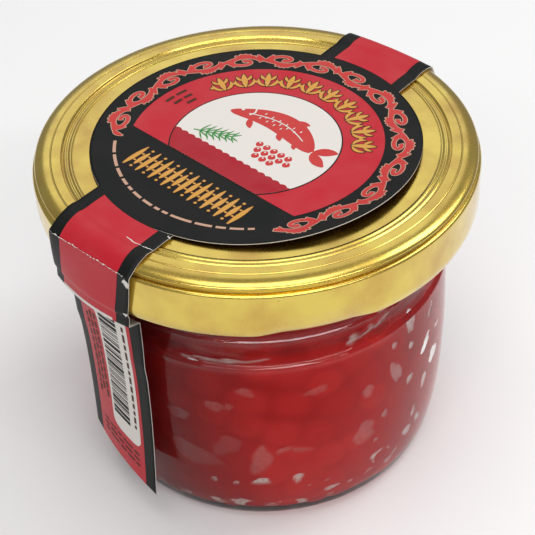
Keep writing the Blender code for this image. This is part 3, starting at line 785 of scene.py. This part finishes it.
def strokes(lines, place, above, spread=0):
    """Ink lines as one mesh: each is (its middle points, its width at each), widened all round by spread.
    Lines that cross lie a hair's breadth apart, so that they never share one plane."""
    points, faces = [], []
    for layer, (line, width) in enumerate(lines):
        line = np.array(line, float)
        ahead = np.gradient(line, axis=0)
        ahead /= np.maximum(np.linalg.norm(ahead, axis=1), 1e-9)[:, None]
        if spread:
            line = np.concatenate([[line[0] - ahead[0] * spread], line[1:-1], [line[-1] + ahead[-1] * spread]])
        half = (np.broadcast_to(width, len(line)) / 2 + spread)[:, None]
        across = np.stack([-ahead[:, 1], ahead[:, 0]], 1)
        rows = np.stack([line + across * half, line - across * half], 1).reshape(-1, 2)
        faces += grid_faces(2, len(line), len(points))
        points += [place(float(x), float(y), above + 0.002 * (1 + layer % 9 if layer else 0)) for x, y in rows]
    return points, faces


def leaf(start, angle, length, width, bend=0, steps=7):
    """A pointed leaf: a line from start at an angle in degrees, widest in its middle, curving by bend degrees."""
    line, at = [start], list(start)
    for i in range(steps):
        a = math.radians(angle + bend * (i + 0.5) / steps)
        at = [at[0] + length / steps * math.cos(a), at[1] + length / steps * math.sin(a)]
        line.append(tuple(at))
    return line, width * np.sin(np.pi * np.linspace(0.06, 0.97, steps + 1)) ** 0.8


coral_ink = printed("coral_ink_on_coated_paper", "#C63A38")
pale_ink = printed("pale_ink_on_coated_paper", "#C49C86")
gold_ink = printed("gold_ink_on_coated_paper", "#D39A45", 0.4)
brown_ink = printed("brown_ink_on_coated_paper", "#4A2418")
deep_red_ink = printed("deep_red_ink_on_coated_paper", "#A81C2A")
green_ink = printed("green_ink_on_coated_paper", "#2F8A3C")

CHORD_V, FIELD_R = 9.9, 19.9
ROUND_MIDDLE, ROUND_R = (0.2, 0.3), 13.3
lay("red_ground", *disc_field(cut_round((0, 0), FIELD_R, CHORD_V), 1.5, INK), red_ink)
lay("round_line", *disc_field(cut_round(ROUND_MIDDLE, ROUND_R + 0.22, CHORD_V), 2, 2 * INK), black_ink)
lay("round_ground", *disc_field(cut_round(ROUND_MIDDLE, ROUND_R, CHORD_V - 0.02), 2, 3 * INK), bare_paper)
WAVE_V, WAVE_LENGTH, WAVE_TALL, WAVE_STEPS = 5.7, 1.5, 0.3, 180
left = math.sqrt(ROUND_R**2 - (WAVE_V - ROUND_MIDDLE[1]) ** 2)
rows = []
for i in range(WAVE_STEPS + 1):
    u = ROUND_MIDDLE[0] - left + 2 * left * i / WAVE_STEPS
    crest = WAVE_V - WAVE_TALL * abs(math.sin(math.pi * u / WAVE_LENGTH))
    lowest = min(CHORD_V - 0.02, ROUND_MIDDLE[1] + math.sqrt(max(0, ROUND_R**2 - (u - ROUND_MIDDLE[0]) ** 2)))
    rows += [(u, v) for v in np.linspace(crest, max(crest, lowest), 5)]
lay("water", [on_art(u, v, 4 * INK) for u, v in rows], grid_faces(5, WAVE_STEPS + 1), deep_red_ink)

BORDER_R, BORDER_START, BORDER_END, BORDER_UNIT = 22.5, 53, 307, 6.65
CURL_STEPS = 22


def round_band(radius, start, place):
    """Places points on a round band of the disc: millimetres along it from start, in degrees, and out from there."""

    def on_band(along, out, above):
        turn = math.radians(start) + along / radius
        return place((radius + out) * math.sin(turn), (radius + out) * math.cos(turn), above)

    return on_band


on_border = round_band(BORDER_R, BORDER_START, on_disc)
border_length = math.radians(BORDER_END - BORDER_START) * BORDER_R
border_count = round(border_length / BORDER_UNIT)
unit = border_length / border_count
vine = [(a, 0.95 * math.sin(math.pi * a / unit)) for a in np.linspace(0, border_length, 16 * border_count)]
scroll = [(vine, 0.62)]
for k in range(border_count):
    way = 1 if k % 2 == 0 else -1
    middle = ((k + 0.54) * unit, -0.42 * way)
    curl = []
    for i in range(CURL_STEPS + 1):
        part = i / CURL_STEPS
        angle = math.pi - way * 2.6 * math.pi * part
        reach = (1 - 0.8 * part) * unit / 2
        curl.append((middle[0] + reach * math.cos(angle) * 0.86, middle[1] + reach * 0.46 * math.sin(angle)))
    scroll.append((curl, np.linspace(0.5, 0.66, len(curl))))
    crest = ((k + 0.5) * unit, 0.8 * way)
    for angle, length in ((90, 1.15), (52, 1.3), (128, 1.3), (20, 1.7), (160, 1.7)):
        scroll.append(leaf(crest, way * angle, length, 0.75, 14 * way))
    fork = ((k + 1) * unit, 0.1 * way)
    scroll += [leaf(fork, way * angle, 2.1, 0.8, bend * way) for angle, bend in ((-28, -50), (208, 50))]
lay("border_edge", *strokes(scroll, on_border, INK, 0.13), pale_ink)
lay("border_scroll", *strokes(scroll, on_border, 2 * INK), coral_ink)

GOLD_R, GOLD_START, GOLD_END, GOLD_COUNT = 16.6, 119, 250, 10
on_gold_arc = round_band(GOLD_R, GOLD_START, on_art)
gold = []
pitch = math.radians(GOLD_END - GOLD_START) * GOLD_R / GOLD_COUNT
for k in range(GOLD_COUNT):
    middle = (k + 0.5) * pitch
    gold.append(leaf((middle, -1.8), 90, 3.8, 0.95))
    for way in (1, -1):
        gold.append(leaf((middle + 0.3 * way, -1.6), 90 - 78 * way, 2.6, 0.6, 95 * way))
        gold.append(leaf((middle + 0.25 * way, 0.1), 90 - 62 * way, 1.7, 0.5, 60 * way))
    gold.append(leaf((middle + pitch / 2 - 0.3, -0.4), 0, 0.6, 0.6))
lay("gold_arc_edge", *strokes(gold, on_gold_arc, 2 * INK, 0.16), brown_ink)
lay("gold_arc", *strokes(gold, on_gold_arc, 3 * INK), gold_ink)

BAR_V, BAR_HALF, BAR_COUNT = 14.9, 11.2, 17
gold = []
for k in range(BAR_COUNT):
    u = -BAR_HALF + 2 * BAR_HALF * k / (BAR_COUNT - 1)
    tall = 2.7 if k % 2 == 0 else 1.7
    gold.append(leaf((u, BAR_V + tall), -90, 2 * tall, 0.85))
    if k % 2:
        gold += [leaf((u - 0.25, BAR_V + way * 2.3), 0, 0.5, 0.5) for way in (1, -1)]
    if k < BAR_COUNT - 1:
        gold += [leaf((u + 0.42, BAR_V + 0.9 * way), 0, 0.6, 0.34) for way in (1, -1)]
lay("gold_row_edge", *strokes(gold, on_art, INK, 0.12), brown_ink)
lay("gold_row", *strokes(gold, on_art, 2 * INK), gold_ink)

bars = np.random.default_rng(5)


def plain_bars(start, end, height, shortest, longest, gap):
    """Plain bars end to end, where such a label has its small print."""
    lines, at = [], start
    while at < end - shortest:
        length = min(float(bars.uniform(shortest, longest)), end - at)
        lines.append((at, at + length, height))
        at += length + gap
    return lines


RIM_R, RIM_HALF_ANGLE = 21.9, 46
reach = math.radians(RIM_HALF_ANGLE) * RIM_R
small = plain_bars(-reach, reach, 0.5, 0.9, 3.6, 0.55)
small = [([(a + (b - a) * i / 8, 0) for i in range(9)], tall) for a, b, tall in small]
lay("rim_bars", *strokes(small, round_band(RIM_R, 0, on_disc), INK), pale_ink)
small = []
for row, (start, end) in enumerate(((-98, -84), (-98, -82), (-97, -84))):
    radius = 18.3 - 1.5 * row
    for a, b, _ in plain_bars(math.radians(start) * radius, math.radians(end) * radius, 0.6, 1.2, 2.2, 0.5):
        small.append(([(radius * math.sin(t), radius * math.cos(t)) for t in np.linspace(a, b, 6) / radius], 0.6))
lay("side_bars", *strokes(small, on_art, 2 * INK), brown_ink)

body = [(8.6 - 17.2 * i / 24, -3.2 - 2.6 * math.sin(math.pi * i / 24) ** 1.1) for i in range(25)]
girth = [0.95 + 3.9 * math.sin(math.pi * (i / 24) ** 0.8) ** 0.9 for i in range(24)] + [0.5]
fish = [(body, girth)]
fish += [leaf((8.9, -3.2), angle, 4.0, 1.9, bend) for angle, bend in ((-52, 30), (40, -30))]
fish += [leaf((1.4, -7.4), angle, 2.6, 1.2, 20) for angle in (-28, -8)]
for fin in (((-4.6, -3.6), 62, 2.6, 1.1, -25), ((1.5, -3.7), 55, 2.1, 1.0, -20), ((5.2, -3.1), 60, 1.5, 0.8, -20)):
    fish.append(leaf(*fin))
lay("fish", *strokes(fish, on_art, 4 * INK), coral_ink)
marks = [(body[4:21], 0.2), ([(-5.6, -6.1), (-5.1, -5.1), (-5.4, -4.1)], 0.28), leaf((-7.5, -4.6), 0, 0.6, 0.6)]
for row in range(3):
    marks += [leaf((-3.6 + 1.5 * i + 0.7 * (row % 2), -6.3 + 0.7 * row), 60, 0.6, 0.22, 60) for i in range(6 - row)]
lay("fish_marks", *strokes(marks, on_art, 6 * INK), bare_paper)
berries = [leaf((0.6 + 1.5 * (i % 5) + 0.75 * (i // 5), 0.4 + 1.3 * (i // 5)), 0, 1.25, 1.35) for i in range(13)]
lay("berries", *strokes(berries, on_art, 4 * INK), coral_ink)
glints = [leaf((0.95 + 1.5 * (i % 5) + 0.75 * (i // 5), 0.15 + 1.3 * (i // 5)), 0, 0.35, 0.35) for i in range(13)]
lay("berry_glints", *strokes(glints, on_art, 6 * INK), bare_paper)
sprig = [([(-9.4 + 0.5 * i, 4.3 - 0.2 * i) for i in range(13)], 0.26)]
for i in range(2, 13, 2):
    at = (-9.4 + 0.5 * i, 4.3 - 0.2 * i)
    for way in (1, -1):
        sprig += [leaf(at, -22 + way * turn, 2.5 - 0.07 * i, 0.26, way * -15) for turn in (40, 68)]
lay("sprig", *strokes(sprig, on_art, 4 * INK), green_ink)

RED_HALF = 6.1
for name, facing in (("front_strip_red", FRONT), ("back_strip_red", BACK)):
    lay(name, *strip_field(-RED_HALF, RED_HALF, 0.15, STRIP_END - 0.05, facing, INK), red_ink)
PANEL_LEFT, PANEL_RIGHT, PANEL_TOP, PANEL_LOW, PANEL_CORNER = -1.6, 5.4, HANG_T - 0.9, HANG_T + 28.5, 1.8
# The white panel flares out to the left at its top.
FLARE_LEFT, FLARE_TALL = -7.8, 6.8
PANEL_ROWS = 120
lines = []
for t in np.linspace(PANEL_TOP, PANEL_LOW, PANEL_ROWS):
    rounding = max(0, PANEL_CORNER - (PANEL_LOW - t))
    inset = PANEL_CORNER - math.sqrt(PANEL_CORNER**2 - rounding**2)
    flare = max(0, 1 - (t - PANEL_TOP) / FLARE_TALL)
    from_left = max(-RED_HALF, PANEL_LEFT + inset + (FLARE_LEFT - PANEL_LEFT) * (1 - math.sqrt(1 - flare**2)))
    lines += [on_strip(float(u), float(t), FRONT, 2 * INK) for u in np.linspace(from_left, PANEL_RIGHT - inset, 11)]
lay("front_panel", lines, grid_faces(11, PANEL_ROWS), bare_paper)
at = PANEL_TOP + 3.5
code = [[], []]
while at < PANEL_LOW - 3:
    thick_bar = float(bars.choice([0.2, 0.2, 0.35, 0.5, 0.75]))
    points, faces = strip_field(PANEL_LEFT + 0.6, PANEL_LEFT + 4.7, at, at + thick_bar, FRONT, 3 * INK)
    code[1] += [tuple(len(code[0]) + k for k in face) for face in faces]
    code[0] += points
    at += thick_bar + float(bars.choice([0.22, 0.3, 0.45]))
lay("panel_bars", *code, black_ink)


def on_front(u, t, above):
    """A point on the front strip."""
    return on_strip(u, t, FRONT, above)


small = []
upright = ((4.5, PANEL_TOP + 4, PANEL_LOW - 3), (-2.6, HANG_T + 5, HANG_T + 24))
upright += ((-3.6, HANG_T + 5, HANG_T + 23), (-4.6, HANG_T + 6, HANG_T + 24))
for u, start, end in upright:
    small += [([(u, a), (u, (a + b) / 2), (u, b)], 0.5) for a, b, _ in plain_bars(start, end, 0.5, 0.6, 1.7, 0.5)]
for row in range(3):
    t = PANEL_LOW + 1.6 + 1.2 * row
    small += [([(a, t), (b, t)], 0.45) for a, b, _ in plain_bars(-4.6, 4.8, 0.5, 0.9, 2.6, 0.5)]
lay("strip_small_bars", *strokes(small, on_front, 3 * INK), brown_ink)

# Where the paper was creased or rubbed, its white core shows.
cracks, steps = [], 6
for u, t, length, slope in ((3.4, VALLEY_T - 0.2, 3.0, 0.1), (6.6, VALLEY_T + 0.1, 1.8, 0.05), (8.0, 0.5, 0.7, 0.9)):
    jitter = bars.uniform(-0.12, 0.12, steps + 1)
    line = [(u + length * i / steps, t + slope * length * i / steps + jitter[i]) for i in range(steps + 1)]
    cracks.append((line, 0.16 * np.sin(np.linspace(0.4, 2.9, steps + 1)) + 0.03))
along = np.linspace(-8.35, 7.2, 70)
line = [(u, FOLD_T + bars.uniform(-0.09, 0.09)) for u in along]
cracks.append((line, 0.02 + 0.2 * bars.uniform(0, 1, len(along)) ** 2.2))
corner = [(7.2, FOLD_T + 1.2), (7.6, FOLD_T + 0.8), (8.0, FOLD_T + 1.1), (8.3, FOLD_T + 1.9)]
cracks.append((corner, [0.3, 0.9, 1.2, 0.5]))
cracks.append(([(7.7, UNDER_T - 0.6), (8.1, UNDER_T - 0.3), (8.35, UNDER_T - 0.7)], [0.2, 0.6, 0.3]))
lay("worn_edges", *strokes(cracks, on_front, 3 * INK), bare_paper)

# The floor, light and camera
# A plain pale table under soft studio light, seen from where the photograph was taken.

FLOOR_HALF = 600
corners = [(FLOOR_HALF * x, FLOOR_HALF * y, 0) for x, y in ((-1, -1), (1, -1), (1, 1), (-1, 1))]
floor = add_piece("floor", corners, [(0, 1, 2, 3)])
card = new_material("matt_white_card")
matt = {"Base Color": colour("#F8F8F8"), "Roughness": 0.9, "Specular IOR Level": 0.1}
surface = add_node(card, "BsdfPrincipled", matt)
add_node(card, "OutputMaterial", links={"Surface": surface.outputs["BSDF"]})
floor.data.materials.append(card)

world = bpy.data.worlds.new("studio")
bpy.context.scene.world = world
world.use_nodes = True
sky = world.node_tree.nodes["Background"]
sky.inputs["Color"].default_value = (1, 1, 1, 1)
sky.inputs["Strength"].default_value = 0.3


def way_to(azimuth, elevation):
    """The way out to a place at these angles in degrees, and the level way to its right."""
    a, e = math.radians(azimuth), math.radians(elevation)
    away = Vector((math.sin(a) * math.cos(e), -math.cos(a) * math.cos(e), math.sin(e)))
    return away, Vector((math.cos(a), math.sin(a), 0))


def softbox(name, azimuth, elevation, far, wide, tall, power):
    """A soft light that looks at the jar's middle, with its wide side level. Its lengths are in metres."""
    lamp = bpy.data.lights.new(name, "AREA")
    lamp.shape = "RECTANGLE"
    lamp.size, lamp.size_y = wide, tall
    lamp.energy = power
    box = bpy.data.objects.new(name, lamp)
    bpy.context.scene.collection.objects.link(box)
    away, level = way_to(azimuth, elevation)
    box.matrix_world = Matrix((level, away.cross(level), away)).transposed().to_4x4()
    box.location = Vector((0, 0, 0.03)) + away * far


softbox("key", 160, 50, 0.9, 0.4, 0.4, 2.2)
softbox("overhead", 48, 84, 0.8, 0.55, 0.45, 2.0)
softbox("front", 56, 46, 0.8, 1.1, 0.08, 2.6)
softbox("window", 230, 42, 0.9, 0.6, 0.5, 0.7)

LOOK_Z, EYE_FAR, FOCAL_LENGTH, SENSOR_WIDTH = 28.4, 246.2, 99.4, 36
ROLL, PAN, TILT = (math.radians(a) for a in (-2.65, 0.22, 0.23))
away, right = way_to(48, 40.88)
eye = Vector((0, 0, LOOK_Z * MM)) + away * EYE_FAR * MM
up = right.cross(-away)
ahead = (-away + math.tan(PAN) * right + math.tan(TILT) * up).normalized()
level = ahead.cross(up).normalized()
lifted = level.cross(ahead)
camera_right = math.cos(ROLL) * level + math.sin(ROLL) * lifted
camera_up = -math.sin(ROLL) * level + math.cos(ROLL) * lifted
lens = bpy.data.cameras.new("camera")
lens.lens = FOCAL_LENGTH
lens.sensor_width = SENSOR_WIDTH
camera = bpy.data.objects.new("camera", lens)
bpy.context.scene.collection.objects.link(camera)
camera.matrix_world = Matrix((camera_right, camera_up, -ahead)).transposed().to_4x4()
camera.location = eye
bpy.context.scene.camera = camera
bpy.context.scene.view_settings.view_transform = "Standard"
